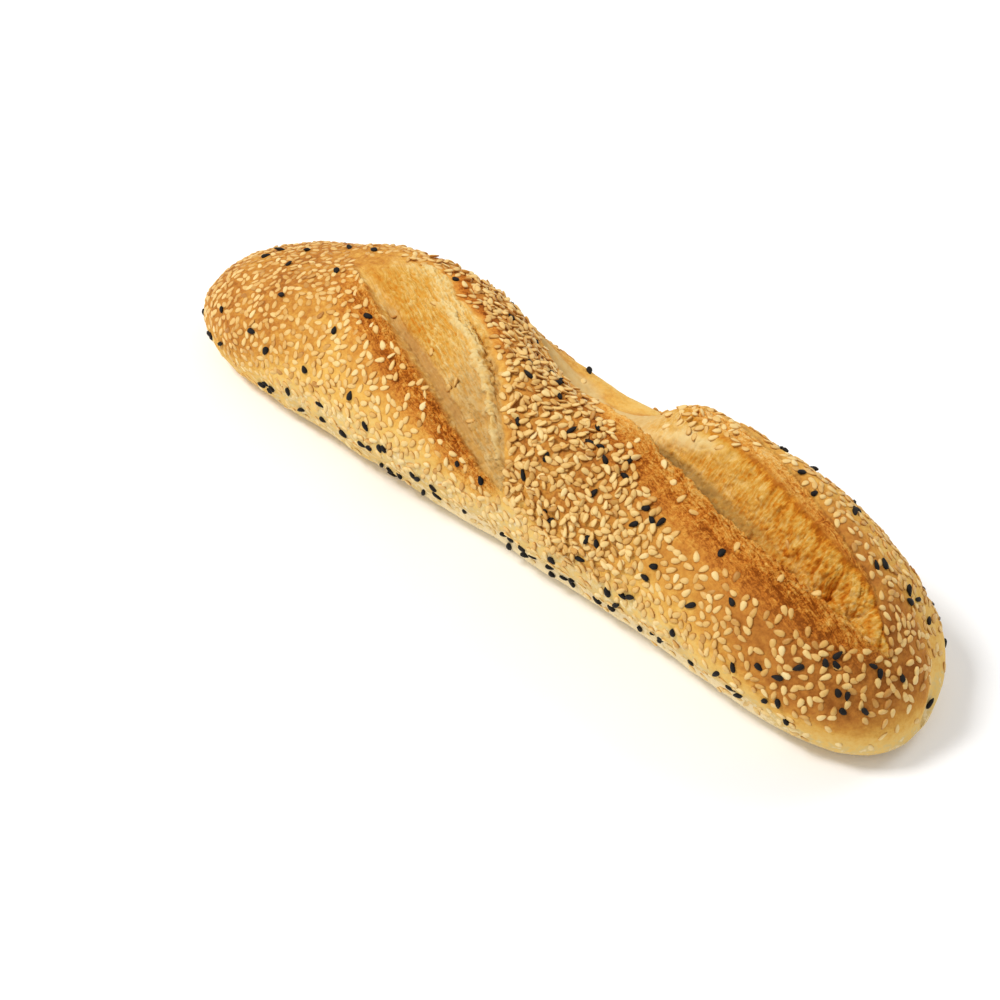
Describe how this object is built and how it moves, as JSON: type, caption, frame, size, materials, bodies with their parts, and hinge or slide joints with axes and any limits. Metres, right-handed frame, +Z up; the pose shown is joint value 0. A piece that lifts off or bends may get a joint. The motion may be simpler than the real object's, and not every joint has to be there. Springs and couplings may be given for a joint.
{
  "type": "mini sesame baguette",
  "caption": "Short crusty baguette with a flat base, rounded ends and slanting scores opened in the oven, strewn with sesame and nigella seeds.",
  "frame": {"origin": "middle of the loaf's flat base", "axes": "+X along the loaf towards its blunter end, +Y across it, +Z up out of the scored crown"},
  "size_m": [0.262, 0.0648, 0.0515],
  "materials": {
    "crust": "baked wheat crust, golden brown on the crown and beside the scores, pale cream along the lower sides and in the torn crumb, dry and matt with a faint sheen",
    "sesame": "toasted white sesame seeds, cream to light gold, smooth with a soft sheen",
    "nigella": "black nigella seeds, matt and finely wrinkled"
  },
  "bodies": {
    "root": {"loaf": "crust"}
  },
  "joints": []
}
